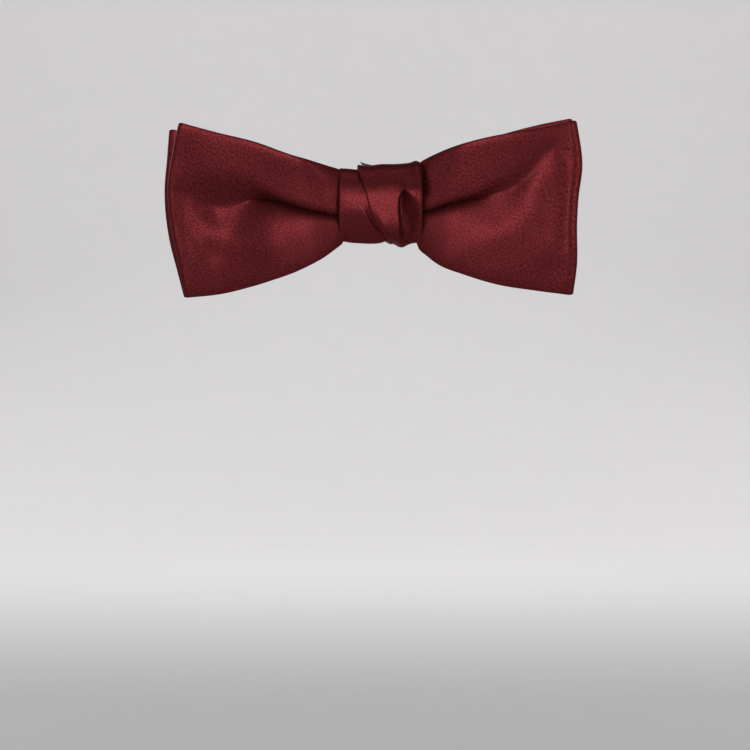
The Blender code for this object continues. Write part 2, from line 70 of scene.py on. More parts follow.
# What the two tables hold:
# front, back: depths (y) of the middle of a ply, inside the knot, at the wing's belly and at its end.
# bend: how far a ply's edges curl back beside the knot.
# groove: shares of the pleat's groove that press a ply, at the knot and outside it.
# relief: share of the wing's folds that the front ply takes.
# satin_area, lining_area: flat areas that the cloth was cut to, in square metres.
# back_hollow: share of the pleat's hollow that presses the back ply.
# top, bottom: heights of a wing's edges, each at a distance from the middle.
# end: distances of a wing's end from the middle, each at a height.
FRONT_BOW = {
    "name": "front_bow",
    "front": (-14.0, -15.5, -14.7),
    "back": (-12.3, -11.6, -11.9),
    "bend": {"front": 1.9, "back": 1.6},
    "groove": {"front": (1.0, 1.0), "back": (0.72, 0.0)},
    "relief": 1.0,
    "satin_area": 0.0152,
    "lining_area": 0.0074,
    "back_hollow": 0.45,
    "top": {
        -1: [(11.0, 9.3), (16.0, 10.7), (24.0, 13.0), (32.7, 16.1), (43.5, 18.8), (53.0, 21.4)],
        1: [(11.0, 11.6), (17.0, 14.2), (25.4, 16.8), (33.4, 18.5), (42.5, 20.1), (51.0, 22.1)],
    },
    "bottom": {
        -1: [
            (11.0, -10.4), (15.5, -14.0), (20.9, -16.9),
            (31.0, -20.5), (43.0, -23.5), (51.8, -24.5),
        ],
        1: [
            (11.0, -12.0), (15.3, -15.6), (22.0, -18.3),
            (31.0, -21.0), (41.0, -22.6), (51.0, -23.9),
        ],
    },
    "end": {
        -1: [(-24.5, 51.9), (-14.0, 53.9), (-2.0, 56.0), (5.5, 56.3), (14.0, 54.9), (21.4, 53.3)],
        1: [(-23.9, 51.0), (-16.0, 52.0), (-5.0, 52.0), (2.0, 52.4), (10.0, 53.4), (22.2, 51.9)],
    },
}
BACK_BOW = {
    "name": "back_bow",
    "front": (-10.6, -9.7, -9.7),
    "back": (-8.9, -5.8, -7.0),
    "bend": {"front": 1.6, "back": 1.3},
    "groove": {"front": (0.45, 0.0), "back": (0.2, 0.0)},
    "relief": 0.35,
    "satin_area": 0.0152,
    "lining_area": 0.0074,
    "back_hollow": 0.0,
    "top": {
        -1: [(11.0, 8.7), (24.0, 12.4), (38.0, 16.4), (56.4, 20.6)],
        1: [(11.0, 11.0), (17.0, 13.6), (25.4, 16.9), (33.2, 19.3), (42.0, 21.6), (50.8, 23.4)],
    },
    "bottom": {
        -1: [(11.0, -9.8), (15.5, -13.4), (24.0, -17.6), (38.0, -22.2), (52.4, -24.4)],
        1: [(11.0, -11.2), (15.3, -14.8), (22.0, -17.6), (33.0, -20.8), (50.2, -23.3)],
    },
    "end": {
        -1: [(-24.4, 52.5), (-18.5, 54.0), (-8.0, 56.6), (4.0, 57.7), (13.0, 57.0), (20.6, 56.4)],
        1: [(-23.3, 50.2), (-12.0, 51.2), (0.0, 51.4), (10.0, 52.5), (23.4, 51.2)],
    },
}

# The pleat that runs out of the knot along each wing: height at a distance from the middle.
PLEAT = {
    -1: [
        (9.0, -3.2), (11.0, -2.9), (17.8, -1.7), (24.3, 0.1), (29.3, 1.4),
        (33.0, 1.7), (37.0, 1.3), (42.0, 1.0), (48.0, 1.6), (57.0, 3.0),
    ],
    1: [
        (9.0, -2.0), (11.3, -1.8), (18.7, 0.4), (26.8, 2.2), (31.5, 3.5),
        (36.0, 5.2), (40.0, 8.2), (44.0, 13.0), (50.0, 22.0),
    ],
}


def curve(knots):
    """A smooth curve through a few (at, value) knots, held level beyond its ends."""
    at, value = np.array(knots, float).T
    slope = np.gradient(value, at)

    def read(x):
        x = np.clip(x, at[0], at[-1])
        i = np.clip(np.searchsorted(at, x, side="right") - 1, 0, len(at) - 2)
        step = at[i + 1] - at[i]
        t = (x - at[i]) / step
        return (
            (2 * t**3 - 3 * t**2 + 1) * value[i]
            + (t**3 - 2 * t**2 + t) * step * slope[i]
            + (3 * t**2 - 2 * t**3) * value[i + 1]
            + (t**3 - t**2) * step * slope[i + 1]
        )

    return read


def ease(t):
    """0 up to t = 0, 1 from t = 1, and smooth between them."""
    t = np.clip(t, 0.0, 1.0)
    return t * t * (3.0 - 2.0 * t)


def bell(t):
    """1 at t = 0, falling smoothly to nearly 0 by t = 2 on both sides."""
    return np.exp(-(t**2))


def crowd(count, ends=0.75):
    """Values from 0 to 1 that lie closer together near both ends."""
    a = np.linspace(0.0, 1.0, count)
    return a - ends * np.sin(2 * math.pi * a) / (2 * math.pi)


def path_distance(x, z, path):
    """Distance from a line through a few points."""
    nearest = np.full(np.broadcast(x, z).shape, np.inf)
    for start, end in zip(path, path[1:]):
        start, end = np.array(start, float), np.array(end, float)
        along = end - start
        length = np.linalg.norm(along)
        along /= length
        t = (x - start[0]) * along[0] + (z - start[1]) * along[1]
        off = (x - start[0]) * -along[1] + (z - start[1]) * along[0]
        past = np.maximum(np.maximum(-t, t - length), 0.0)
        nearest = np.minimum(nearest, np.hypot(off, past))
    return nearest


def ridge(x, z, path, width, height):
    """A soft ridge, or a trough where height is negative, along a path."""
    return height * bell(path_distance(x, z, path) / width)


# --- Meshes ------------------------------------------------------------------------------


def add_object(name, points, faces, uv=None, look=None):
    """A smooth-shaded mesh object from points and cloth coordinates in millimetres."""
    mesh = bpy.data.meshes.new(name)
    mesh.from_pydata((np.asarray(points, float) * MM).tolist(), [], faces)
    if uv is not None:
        layer = mesh.uv_layers.new(name="cloth")
        layer.data.foreach_set("uv", (np.asarray(uv, float) * MM).ravel())
    mesh.shade_smooth()
    obj = bpy.data.objects.new(name, mesh)
    bpy.context.scene.collection.objects.link(obj)
    if look:
        mesh.materials.append(look)
    return obj


def gradient(grid, axis, closed=False):
    """Change from point to point along an axis of a grid, which may join up end to end."""
    if closed:
        return (np.roll(grid, -1, axis) - np.roll(grid, 1, axis)) / 2.0
    return np.gradient(grid, axis=axis)


def normals(grid, closed=False):
    """Unit vectors square to a grid's surface."""
    normal = np.cross(gradient(grid, 0, closed), gradient(grid, 1))
    return normal / np.maximum(np.linalg.norm(normal, axis=2, keepdims=True), 1e-9)


def edge_distance(grid):
    """Distances along the surface: from the nearer of a row's two ends, and from its start."""
    steps = np.linalg.norm(np.diff(grid, axis=1), axis=2)
    from_start = np.concatenate([np.zeros((len(grid), 1)), np.cumsum(steps, axis=1)], axis=1)
    return np.minimum(from_start, from_start[:, -1:] - from_start), from_start


def pillow(grid, thickness, pushed=None, closed=False):
    """A tube flattened over a mid-surface: its two faces meet in round edges along each side.

    The grid's first axis runs along the strip and its second across it. Both faces are
    moved back, along +Y, by the distances in pushed.
    Returns points, faces and cloth coordinates (along, round) in millimetres.
    """
    radius = thickness / 2.0
    distance, across = edge_distance(grid)
    rounding = min(EDGE_ROUND, radius)
    left_out = 1.0 - np.minimum(distance / rounding, 1.0)
    half = radius * np.sqrt(np.maximum(1.0 - left_out**2, 0.0))[..., None]
    normal = normals(grid, closed)
    front, back = grid + half * normal, grid - half * normal
    if pushed is not None:
        front[..., 1] += pushed
        back[..., 1] += pushed
    rings = np.concatenate([front, back[:, -2:0:-1]], axis=1)
    stations, count = rings.shape[:2]
    steps = [
        np.linalg.norm(np.roll(face, -1, axis=0) - face, axis=2).mean(axis=1)
        for face in (front, back)
    ]
    along = np.concatenate([[0.0], np.cumsum(np.maximum(*steps))])
    width = across.mean(axis=0)
    around = np.concatenate([width, 2 * width[-1] - width[-2:0:-1], [2 * width[-1]]])
    faces, uv = [], []
    last = stations if closed else stations - 1
    for i in range(last):
        a, b = i * count, ((i + 1) % stations) * count
        for j in range(count):
            k = (j + 1) % count
            faces.append((a + j, a + k, b + k, b + j))
            uv += [(along[i], around[j]), (along[i], around[j + 1]),
                   (along[i + 1], around[j + 1]), (along[i + 1], around[j])]
    return rings.reshape(-1, 3), faces, uv


def tube(path, radius, axis, sides=10):
    """A round rod along a path, closed at both ends. No part of the path runs along the axis."""
    ahead = np.gradient(path, axis=0)
    ahead /= np.linalg.norm(ahead, axis=1, keepdims=True)
    guide = np.cross(ahead, axis)
    guide /= np.linalg.norm(guide, axis=1, keepdims=True)
    across = np.cross(ahead, guide)
    turns = np.linspace(0, 2 * math.pi, sides, endpoint=False)
    rings = np.stack(
        [path + radius * (math.cos(t) * guide + math.sin(t) * across) for t in turns], axis=1
    )
    faces = []
    for i in range(len(path) - 1):
        a, b = i * sides, (i + 1) * sides
        faces += [(a + j, a + (j + 1) % sides, b + (j + 1) % sides, b + j) for j in range(sides)]
    last = len(path) * sides
    faces += [tuple(range(sides))[::-1], tuple(range(last - sides, last))]
    return rings.reshape(-1, 3), faces


def face_out(obj):
    """Turn a closed or nearly closed mesh's faces to point outwards."""
    mesh = obj.data
    points = np.zeros(len(mesh.vertices) * 3)
    mesh.vertices.foreach_get("co", points)
    points = points.reshape(-1, 3)
    mesh.calc_loop_triangles()
    corners = np.zeros(len(mesh.loop_triangles) * 3, np.int32)
    mesh.loop_triangles.foreach_get("vertices", corners)
    a, b, c = (points[corners.reshape(-1, 3)[:, k]] for k in range(3))
    if float((a * np.cross(b, c)).sum()) < 0.0:
        mesh.flip_normals()


def squared_circle(turn, power):
    """Cosine and sine of a turn, moved out towards a square's corners for a power above 2."""
    swell = 2.0 / power
    cos, sin = np.cos(turn), np.sin(turn)
    return np.sign(cos) * np.abs(cos) ** swell, np.sign(sin) * np.abs(sin) ** swell


def solid_wall(obj, thickness):
    """Make a mesh hollow, with a wall of this thickness inside its faces."""
    modifier = obj.modifiers.new("wall", "SOLIDIFY")
    modifier.thickness = thickness * MM
    modifier.offset = -1.0


# --- Bows --------------------------------------------------------------------------------

ROWS_PER_HALF = 34      # rows of points across a ply, on each side of the pleat
STATIONS = 76           # points along a ply
FOLD_STEPS = 11         # points round a loop's end
PLEAT_ROOM = 3.5        # least height between the pleat's row and the wing's edge
FIRST_END = 50.0        # a first guess of how far out a ply ends
WING_SETTLING = 12      # times the guess is corrected
FRONT_PLY, BACK_PLY = "front", "back"


def wing_share(bow, side, x, z):
    """0 at the knot's edge and 1 at the wing's end."""
    end = curve(bow["end"][side])(z)
    return np.clip((x - KNOT_HALF) / (end - KNOT_HALF), 0.0, 1.0)


def edge_height(bow, side, edge, x):
    """Height of the ribbon's edge; inside the knot it is drawn in."""
    out = curve(bow[edge][side])(x)
    hold = 1.0 - ease((x - 8.2) / 2.9)
    return out + (WAIST[edge] - out) * hold


def from_pleat(side, x, z, soft):
    """Distance above the pleat's line, and the same without its sign and with a soft zero."""
    t = z - curve(PLEAT[side])(x)
    return t, np.sqrt(t**2 + soft**2) - soft


def pleat_hollow(side, x, z, share):
    """The valley of the pleat: a steep wall above its line and a long slope below it.

    slope is the slope's length near the knot, and wall the height of the wall. kept is the share
    of the hollow that stays at the foot of the wing, and soft rounds the wall's foot and brow.
    Outwards, near_to_far turns the short slope into one that runs down the whole lower half.
    """
    t, spread = from_pleat(side, x, z, 0.35)
    if side < 0:
        slope = 1.2 + 5.5 * ease((share - 0.10) / 0.50)
        wall = 0.9 + 5.3 * ease((share - 0.22) / 0.5)
        deep = (0.6 + 3.3 * ease(share / 0.6)) * (1.0 - ease((share - 0.71) / 0.29))
        kept = 0.60
        soft = 0.1 + 2.0 * ease((share - 0.38) / 0.28)
        near_to_far = ease((share - 0.34) / 0.38)
    else:
        slope = 1.2 + 2.6 * ease(share / 0.45)
        wall = 0.9 + 3.4 * ease((share - 0.15) / 0.5)
        deep = (0.6 + 1.5 * ease(share / 0.45)) * (1.0 - ease((share - 0.42) / 0.33))
        kept = 0.0
        soft = 0.1 + 0.8 * ease((share - 0.38) / 0.28)
        near_to_far = ease((share - 0.25) / 0.3)
    near = np.exp(-spread / slope)
    lower_half = 12.0
    far = 1.0 - (1.0 - kept) * ease(-t / lower_half)
    below = near + (far - near) * near_to_far
    above = 1.0 - ease((t + soft) / (wall + 2.0 * soft))
    return deep * above * np.where(t > 0, 1.0, below)


def lean(side, x, z, share):
    """The upper half leans forward towards its top; the foot of the wing turns back."""
    soft = 1.0 + 3.5 * ease((share - 0.45) / 0.3)
    above = soft * np.log1p(np.exp((z - curve(PLEAT[side])(x)) / soft))
    upper = 0.18 * above * ease((share - 0.03) / 0.25)
    lower = -0.13 * np.log1p(np.exp((-z - 10.5) / 1.5)) * 1.5 * ease((share - 0.05) / 0.2)
    return upper + lower


def pleat_groove(side, x, z, share):
    """The narrow groove where the upper half of the wing folds over the lower half."""
    t, spread = from_pleat(side, x, z, 0.08)
    start, run = (0.26, 0.32) if side < 0 else (0.20, 0.28)
    deep = (1.7 + 0.8 * ease((x - 12.0) / 5.0)) * (1.0 - ease((share - start) / run))
    return deep * np.exp(-spread / np.where(t > 0, 0.42, 0.60))


def end_relief(side, bow, x, z):
    """The rolled fold at the wing's end."""
    inward = curve(bow["end"][side])(z) - x
    if side > 0:
        return 0.55 * (1.0 - ease((inward - 0.3) / 2.4))
    return (0.15 + 0.40 * bell((z + 1.0) / 9.0)) * (1.0 - ease((inward - 1.1) / 2.4))


def left_relief(x, z):
    """Soft folds round the left wing's hollow, and a ridge above the pleat beside the knot."""
    return (
        ridge(x, z, [(49.0, 0.0), (44.5, -7.5)], width=3.4, height=0.42)
        + ridge(x, z, [(36.5, -4.5), (43.0, -11.5)], width=3.2, height=-0.22)
        + ridge(x, z, [(31.5, -4.0), (30.0, -10.0)], width=4.2, height=0.40)
        + ridge(x, z, [(52.6, 3.0), (51.8, -4.0), (45.5, -13.5)], width=2.0, height=-0.30)
        + ridge(x, z, [(19.5, 11.0), (15.5, 7.5), (12.0, 2.5)], width=1.9, height=0.30)
    )


# The trough that the right wing's pleat runs into: up to its outer corner, then down beside its end.
RIGHT_ARCH = [
    (36.0, 5.2), (39.5, 8.6), (42.5, 13.2), (46.0, 15.2),
    (49.0, 12.0), (49.6, 6.0), (48.8, -10.0),
]


def right_relief(x, z):
    """Soft folds of the right wing, most of them in its outer part."""
    return (
        ridge(x, z, [(45.5, 8.5), (39.5, -1.0)], width=4.0, height=0.30)
        + ridge(x, z, RIGHT_ARCH, width=2.1, height=-0.45)
        + ridge(x, z, [(46.0, -18.0), (41.0, -22.0)], width=3.2, height=-0.20)
        + ridge(x, z, [(16.0, -6.0), (34.0, -8.0)], width=4.5, height=0.12)
    )


def drape(x, z, side):
    """Small irregular undulations, the same each run and different on the two sides."""
    phase = 1.7 if side > 0 else 0.4
    wave = np.sin(0.21 * x + 0.13 * z + phase) * np.sin(0.17 * z - 0.08 * x + 2.1 * phase)
    fine = np.sin(0.43 * x - 0.31 * z + 3.1 * phase) * np.sin(0.37 * z + 0.12 * x + phase)
    return 0.16 * wave + 0.06 * fine


def ply_depth(bow, ply, side, x, z, top, bottom):
    """y of a ply's middle. Standing forward makes it smaller."""
    share = wing_share(bow, side, x, z)
    held, belly, end = bow[ply]
    # The ply swells from the knot to its belly, and settles towards its end.
    y = held + (belly - held) * ease((x - 9.0) / 12.0)
    y = y + (end - belly) * ease((share - 0.45) / 0.55)
    # Beside the knot the ply is bent across into an arc, with its edges back.
    middle = (top + bottom) / 2.0
    across = np.clip((z - middle) / np.maximum((top - bottom) / 2.0, 1e-6), -1.0, 1.0)
    bend = 1.0 - np.sqrt(np.maximum(1.0 - 0.94 * across**2, 0.0))
    y = y + bow["bend"][ply] * bend * (1.0 - ease((x - 9.0) / 9.5))
    if ply == FRONT_PLY:
        outside = ease((x - 8.0) / 3.5)
        forward = end_relief(side, bow, x, z) + lean(side, x, z, share) * outside
        forward = forward - pleat_hollow(side, x, z, share) * outside
        forward = forward + (left_relief(x, z) if side < 0 else right_relief(x, z)) * outside
        forward = forward + drape(x, z, side) * outside
        # The cloth dives under the knot's edge, deepest at the upper right.
        beside = 0.9 * (1.0 - ease((x - 10.6) / 1.3))
        if side > 0:
            beside = beside + 1.6 * (1.0 - ease((x - 10.6) / 2.6)) * ease((z - 1.0) / 3.0)
        forward = forward - beside * outside
        # Both edges of the wing roll back.
        near_top = 0.6 * np.exp(-(top - z) / 1.1) * outside
        near_bottom = 0.7 * np.exp(-(z - bottom) / 1.4) * outside
        y = y - bow["relief"] * (forward - near_top - near_bottom)
    else:
        outside = ease((x - 8.0) / 5.0)
        y = y + outside * drape(x, z, -side) * 0.8
        y = y + outside * bow["back_hollow"] * pleat_hollow(side, x, z, share)
    return y


def ply_points(bow, ply, side, x, cross):
    """Points of one ply at distances x (stations by rows) and shares across, 0 to 1."""
    top = edge_height(bow, side, "top", x)
    bottom = edge_height(bow, side, "bottom", x)
    fold = np.clip(curve(PLEAT[side])(x), bottom + PLEAT_ROOM, top - PLEAT_ROOM)
    lower = bottom + (fold - bottom) * np.clip(cross * 2.0, 0.0, 1.0)
    upper = fold + (top - fold) * np.clip(cross * 2.0 - 1.0, 0.0, 1.0)
    z = np.where(cross < 0.5, lower, upper)
    y = ply_depth(bow, ply, side, x, z, top, bottom)
    return np.stack([side * x, y, z], axis=2)


def groove_depth(bow, ply, side, points):
    """How far the pleat's groove pushes a ply back. Near the knot it presses all plies."""
    x, z = side * points[..., 0], points[..., 2]
    at_knot, outside = bow["groove"][ply]
    share = at_knot + (outside - at_knot) * ease((x - 12.0) / 8.0)
    return share * pleat_groove(side, x, z, wing_share(bow, side, x, z)) * ease((x - 7.0) / 3.0)


def wing_grid(bow, side):
    """Mid-surface of a wing's loop: back ply outwards, round the end, front ply inwards.

    The second array is how far each point is pushed back by the pleat's groove.
    """
    half = crowd(ROWS_PER_HALF) / 2.0
    cross = np.concatenate([half, 0.5 + half[1:]])[None, :]
    outline = curve(bow["end"][side])
    # The straight part's end depends on height, and height on how far out it is: settle both.
    straight = np.full((1, cross.shape[1]), FIRST_END)
    for _ in range(WING_SETTLING):
        z = ply_points(bow, FRONT_PLY, side, straight, cross)[..., 2]
        straight = outline(z) - LOOP_END - RIBBON / 2
    spread = crowd(STATIONS, 0.6)[:, None]
    x = STRIP_END + (straight - STRIP_END) * spread
    back = ply_points(bow, BACK_PLY, side, x, np.repeat(cross, STATIONS, 0))
    front = ply_points(bow, FRONT_PLY, side, x, np.repeat(cross, STATIONS, 0))[::-1]
    angles = np.linspace(90.0, -90.0, FOLD_STEPS + 2)[1:-1]
    start, finish = back[-1], front[0]
    fold = []
    middle = (start[:, 1] + finish[:, 1]) / 2.0
    reach = (start[:, 1] - finish[:, 1]) / 2.0
    for angle in np.radians(angles):
        height = start[:, 2] + (finish[:, 2] - start[:, 2]) * (1.0 - math.sin(angle)) / 2.0
        fold.append(np.stack([
            start[:, 0] + side * LOOP_END * math.cos(angle),
            middle + reach * math.sin(angle),
            height,
        ], axis=1))
    pushed = [
        groove_depth(bow, BACK_PLY, side, back),
        np.zeros((FOLD_STEPS, cross.shape[1])),
        groove_depth(bow, FRONT_PLY, side, front),
    ]
    return np.concatenate([back, np.array(fold), front]), np.concatenate(pushed)


def strip_grid(bow):
    """The whole strip, whose two ends meet at the middle of the back, and how far it is pushed."""
    left, left_pushed = wing_grid(bow, -1)
    right, right_pushed = wing_grid(bow, 1)
    return np.concatenate([left, right[::-1]]), np.concatenate([left_pushed, right_pushed[::-1]])


def make_bow(bow, satin, lining):
    """A bow's satin tube and the lining inside it, which stays clear of the tube's edges and ends."""
    grid, pushed = strip_grid(bow)
    shell = add_object(bow["name"] + "_satin", *pillow(grid, RIBBON, pushed), satin)
    face_out(shell)
    solid_wall(shell, SATIN)
    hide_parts(bow["name"] + "_shell")
    inside = (slice(1, -1), slice(2, -2))
    core = pillow(grid[inside], RIBBON - 2 * SATIN - LINING_GAP, pushed[inside])
    inner = add_object(bow["name"] + "_lining", *core, lining)
    face_out(inner)
    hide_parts(bow["name"] + "_interlining")
    return shell, inner


# --- Knot --------------------------------------------------------------------------------

KNOT_STEPS = 200        # points round the knot
KNOT_COLUMNS = 100      # points across a wrap
WRAP_SETTLING = 8       # times a wrap's left edge is corrected for its height
KNOT_MIDDLE_Y = -9.45
KNOT_DEPTH = 7.85       # from the knot's middle to its front
KNOT_POWER = 2.12       # how square the knot's section is; 2 is an ellipse

# Heights of the knot's outside, each at an x.
KNOT_TOP = [
    (-11.0, 11.7), (-6.5, 11.1), (-3.5, 10.8), (0.0, 11.2),
    (5.0, 11.3), (8.0, 11.7), (9.4, 12.2), (11.0, 11.6),
]
KNOT_BOTTOM = [
    (-11.0, -10.8), (-6.0, -11.2), (0.0, -11.1), (3.3, -10.1),
    (5.6, -11.0), (7.5, -10.2), (11.0, -9.8),
]

# Thicknesses of the three wraps, and depths of the inner two's middles inside the knot's outside.
OUTER_WRAP = 0.9
LINING_WRAP = 0.22
INNER_WRAP = 0.75
LINING_DEPTH = 1.10
INNER_DEPTH = 1.68

# x of the outer wrap's slanted edge and of the dimple's two sides, each at a height.
SLANT = [
    (-11.2, 3.2), (-8.4, 1.3), (-5.9, -0.7), (-0.8, -2.9),
    (3.6, -4.1), (9.4, -6.1), (11.0, -6.3),
]
DIMPLE_LEFT = [(-10.6, 7.0), (-9.0, 6.2), (-5.3, 5.1), (-0.5, 4.7), (2.0, 5.0), (4.2, 5.9)]
DIMPLE_RIGHT = [
    (-10.6, 7.6), (-9.0, 9.2), (-6.9, 10.2), (-1.5, 10.2),
    (1.4, 8.8), (3.0, 7.3), (4.2, 6.3),
]
DIMPLE_DEPTH = 2.5


def wrap_left(z, front):
    """Left edge of the outer wrap: it slants down the front, and crosses back behind the knot."""
    slant = curve(SLANT)(z)
    behind = -6.3 + 9.5 * ease((-z - 4.0) / 7.2)
    return behind + (slant - behind) * front


def dimple(x, z):
    """Depth of the hollow beside the knot's tongue, with a steep left wall."""
    left, right = curve(DIMPLE_LEFT)(z), curve(DIMPLE_RIGHT)(z)
    width = np.maximum(right - left, 0.3)
    t = (x - left) / width
    wall = ease((t + 0.02) / 0.13)
    floor = 1.0 - ease((t - 0.25) / 0.85)
    inside = ease((z + 11.2) / 2.0) * (1.0 - ease((z - 2.2) / 2.4))
    return DIMPLE_DEPTH * wall * floor * inside


def knot_relief(x, z):
    """How far the knot's cloth stands out of its round shape, before the dimple."""
    across = ease((x - wrap_left(z, 1.0) + 1.0) / 3.0) * (1.0 - ease((x - 4.6) / 1.2))
    swell = 3.5 * np.clip((1.0 - z) / 10.5, 0.0, 1.0) ** 2
    crest = 0.20 * bell((x - 3.2) / 1.9) * ease((4.0 - z) / 5.0)
    tongue = across * (swell + crest)
    arch = 0.95 * ease((x - 4.5) / 2.5) * ease((8.5 - z) / 5.5) * ease((z + 6.0) / 7.0)
    rim = 0.3 * bell((x - 10.2) / 0.9) * ease((z + 6.0) / 4.0)
    sag = ridge(x, z, [(-3.0, 7.0), (7.0, 7.6)], width=1.8, height=-0.18)
    return tongue + arch + rim + sag


def tuck_relief(x, z):
    """A small fold of the inner wrap that shows beside the outer wrap's slanted edge."""
    edge = wrap_left(z, 1.0)
    off = edge - x
    run = ease((0.5 - z) / 5.0) * ease((z + 11.0) / 4.0)
    fold = run * (0.30 * bell((off - 2.2) / 0.9) - 0.35 * bell((off - 0.8) / 0.6))
    return fold - 0.5 * ease((-1.0 - z) / 7.0) * ease((x + 11.0) / 3.0)


def knot_surface(x, turn, depth):
    """y and z of points at a depth inside the knot's outside; turn 0 is the front."""
    top, bottom = curve(KNOT_TOP)(x), curve(KNOT_BOTTOM)(x)
    middle, reach = (top + bottom) / 2.0, (top - bottom) / 2.0
    y_part, z_part = squared_circle(turn, KNOT_POWER)
    ends = 0.3 * (np.abs(x) / KNOT_HALF) ** 6
    inset = depth + ends
    y = KNOT_MIDDLE_Y - (KNOT_DEPTH - inset) * y_part
    z = middle + (reach - inset) * z_part
    return y, z


def wrap_grid(left, right, depth, relief):
    """Mid-surface of a band round the knot, from its left edge to its right edge.

    The second array is how far its relief pushes each point back.
    """
    turn = np.linspace(0.0, 2 * math.pi, KNOT_STEPS, endpoint=False)[:, None]
    share = crowd(KNOT_COLUMNS, 0.7)[None, :]
    front = ease(np.cos(turn) * 1.5 + 0.5)
    x = np.zeros((KNOT_STEPS, KNOT_COLUMNS))
    for _ in range(WRAP_SETTLING):
        y, z = knot_surface(x, turn, depth)
        x_left = left(z, front)
        x = x_left + (right - x_left) * share
    y, z = knot_surface(x, turn, depth)
    facing = ease(np.cos(turn) / 0.45)
    push = relief(x, knot_surface(x, turn, 0.0)[1]) * facing
    return np.stack([x, y, z], axis=2), -push * np.clip(np.cos(turn), 0.0, 1.0) ** 0.5


def make_wrap(name, grid, thickness, look, node, slot_name):
    """A closed band round the knot, which is a hollow tube if it is satin."""
    band = add_object(name, *pillow(grid[0], thickness, grid[1], closed=True), look)
    face_out(band)
    if slot_name == "burgundy_satin":
        solid_wall(band, SATIN)
    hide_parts(node)
    return band


def make_binding(thread):
    """Turns of thread that hold both bows gathered at the waist, as one tube along a helix."""
    turns, steps, radius, pitch = 5, 60, 0.2, 0.42
    half_depth, half_height, power = 3.62, 6.5, 2.2     # of the waist that it goes round
    middle = np.array([0.0, -11.37, -0.3])
    a = np.arange(turns * steps) * 2 * math.pi / steps
    out_y, out_z = squared_circle(a, power)
    y = -half_depth * out_y
    z = half_height * out_z
    x = pitch * (a / (2 * math.pi) - turns / 2)
    path = middle + np.stack([x, y, z], axis=1)
    points, faces = tube(path, radius, (1.0, 0.0, 0.0))
    binding = add_object("binding_turns", points, faces, look=thread)
    face_out(binding)
    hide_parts("centre_binding_thread")
    return binding


def make_stitches(thread):
    """One thread that whips the outer wrap shut up the back of the knot, side to side."""
    legs, steps, radius = 23, 6, 0.14
    seam, reach = 2.5, 0.8          # the seam's x, and how far the thread crosses it
    half_turn, proud = 0.95, 0.06   # half the seam's angle, and how far the thread stands out
    along = np.linspace(0.0, legs, legs * steps + 1)
    x = seam + reach * (2.0 * np.abs((along % 2.0) - 1.0) - 1.0)
    y, z = knot_surface(x, math.pi + half_turn - 2 * half_turn * along / legs, -proud)
    path = np.stack([x, y, z], axis=1)
    stitches = add_object("knot_stitch_thread", *tube(path, radius, (0.0, 1.0, 0.0)), look=thread)
    face_out(stitches)
    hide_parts("knot_closing_stitches")
    return stitches


def make_spring(side, turn, pin, steel):
    """A torsion spring round a clip's pin, from a leg on the jaw to a leg under the thumb tab."""
    coils, steps, pitch = 3.5, 28, 0.75
    radius, wire = 1.35, 0.25       # of the coil, and of the wire itself
    low = -coils * pitch / 2
    a = np.arange(int(coils * steps) + 1) * 2 * math.pi / steps
    rise = low + pitch * a / (2 * math.pi)
    coil = np.stack([radius * np.sin(a), -radius * np.cos(a), rise], axis=1)
    low_leg = [(-3.1, -1.75, low), (-2.0, -1.62, low), (-0.9, -1.45, low), (-0.4, -1.38, low)]
    high_leg = [(0.5, 1.38, -low), (1.2, 1.44, -low), (2.8, 1.58, -low), (4.4, 1.72, -low)]
    path = np.concatenate([low_leg, coil, high_leg])
    angle = math.radians(turn)
    outwards = np.array([math.cos(angle), 0.0, -math.sin(angle)])
    along_pin = np.array([math.sin(angle), 0.0, math.cos(angle)])
    back = np.array([0.0, 1.0, 0.0])
    world = np.array(pin) + path[:, :1] * outwards + path[:, 1:2] * back + path[:, 2:] * along_pin
    spring = add_object(side + "_spring_wire", *tube(world, wire, along_pin), look=steel)
    face_out(spring)
    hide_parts(side + "_jaw_spring")
    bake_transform(spring)


def make_knot(satin, lining):
    """The outer wrap, the lining inside it, and the inner wrap that shows at the knot's left."""

    def outer_relief(x, z):
        return knot_relief(x, z) - dimple(x, z)

    def inner_relief(x, z):
        return np.where(x > wrap_left(z, 1.0) + 1.0, outer_relief(x, z), tuck_relief(x, z))

    outer = wrap_grid(wrap_left, 11.0, OUTER_WRAP / 2, outer_relief)
    middle = wrap_grid(lambda z, f: wrap_left(z, f) + 1.6, 9.6, LINING_DEPTH, outer_relief)
    inner = wrap_grid(lambda z, f: -11.0 + 0 * z, 10.3, INNER_DEPTH, inner_relief)
    return [
        make_wrap(
            "knot_outer_satin", outer, OUTER_WRAP, satin,
            "knot_outer_wrap", "burgundy_satin",
        ),
        make_wrap(
            "knot_lining", middle, LINING_WRAP, lining,
            "knot_interlining", "interlining",
        ),
        make_wrap(
            "knot_inner_satin", inner, INNER_WRAP, satin,
            "knot_inner_wrap", "burgundy_satin",
        ),
    ]


# --- Materials ---------------------------------------------------------------------------


class Nodes:
    """Adds shader nodes to a material's tree in few words."""

    def __init__(self, name):
        self.look = bpy.data.materials.new(name)
        self.look.use_nodes = True
        self.tree = self.look.node_tree
        self.shader = self.tree.nodes["Principled BSDF"]

    def add(self, kind, inputs=None, **settings):
        node = self.tree.nodes.new("ShaderNode" + kind)
        for key, value in settings.items():
            setattr(node, key, value)
        for key, value in (inputs or {}).items():
            if isinstance(value, bpy.types.NodeSocket):
                self.tree.links.new(value, node.inputs[key])
            else:
                node.inputs[key].default_value = value
        return node

    def set(self, **values):
        for key, value in values.items():
            socket = self.shader.inputs[key.replace("_", " ")]
            if isinstance(value, bpy.types.NodeSocket):
                self.tree.links.new(value, socket)
            else:
                socket.default_value = value


